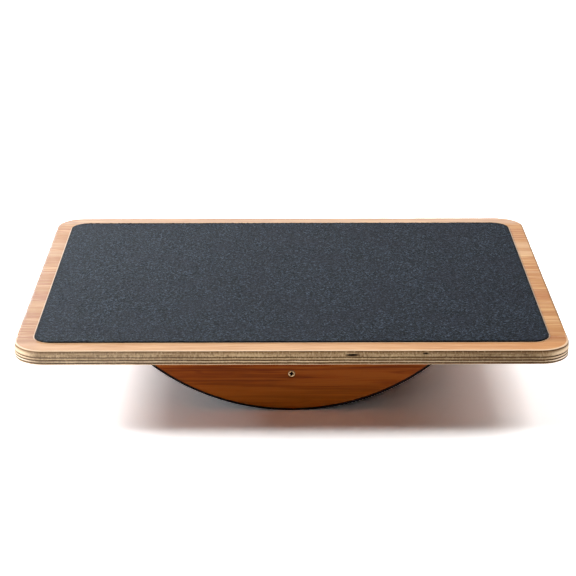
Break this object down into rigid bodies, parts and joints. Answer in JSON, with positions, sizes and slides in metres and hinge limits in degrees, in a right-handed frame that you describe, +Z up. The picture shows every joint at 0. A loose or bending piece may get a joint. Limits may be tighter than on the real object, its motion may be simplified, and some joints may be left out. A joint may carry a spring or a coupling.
{
  "type": "rocker balance board",
  "caption": "Rectangular plywood balance board with a grit standing sheet, on a half-round wooden rocker faced with anti-slip rubber",
  "frame": {"origin": "on the floor under the middle of the rocker, which is the middle of the board's footprint", "axes": "+X along the board's long side, the way it tips; +Y from the front long edge to the rear one, along the rocker; +Z up"},
  "size_m": [0.445, 0.343, 0.072],
  "materials": {
    "face_veneer": "satin lacquered light reddish veneer",
    "core_ply_long": "lacquered plywood edge, long grain",
    "core_ply_cross": "lacquered plywood edge, end grain",
    "end_plate": "satin lacquered reddish brown veneer",
    "inner_wood": "bare plywood",
    "grit_sheet": "mineral grit, slate grey",
    "rubber_sheet": "matt black rubber",
    "screw_steel": "yellow zinc plated"
  },
  "bodies": {
    "root": {"deck_face_veneer": "face_veneer", "deck_core_ply_1": "core_ply_cross", "deck_core_ply_2": "core_ply_long", "deck_core_ply_3": "core_ply_cross", "deck_core_ply_4": "core_ply_long", "deck_core_ply_5": "core_ply_cross", "deck_back_veneer": "face_veneer", "deck_grip_sheet": "grit_sheet", "end_plate_front": "end_plate", "end_plate_rear": "end_plate", "centre_spine": "inner_wood", "mid_rib_left": "inner_wood", "mid_rib_right": "inner_wood", "edge_block_left": "inner_wood", "edge_block_right": "inner_wood", "rocker_skin": "inner_wood", "rocker_grip_sheet": "rubber_sheet", "deck_screw_spine_front": "screw_steel", "deck_screw_spine_middle": "screw_steel", "deck_screw_spine_rear": "screw_steel", "deck_screw_front_left": "screw_steel", "deck_screw_front_right": "screw_steel", "deck_screw_rear_left": "screw_steel", "deck_screw_rear_right": "screw_steel", "plate_screw_front": "screw_steel", "plate_screw_rear": "screw_steel"}
  },
  "joints": []
}
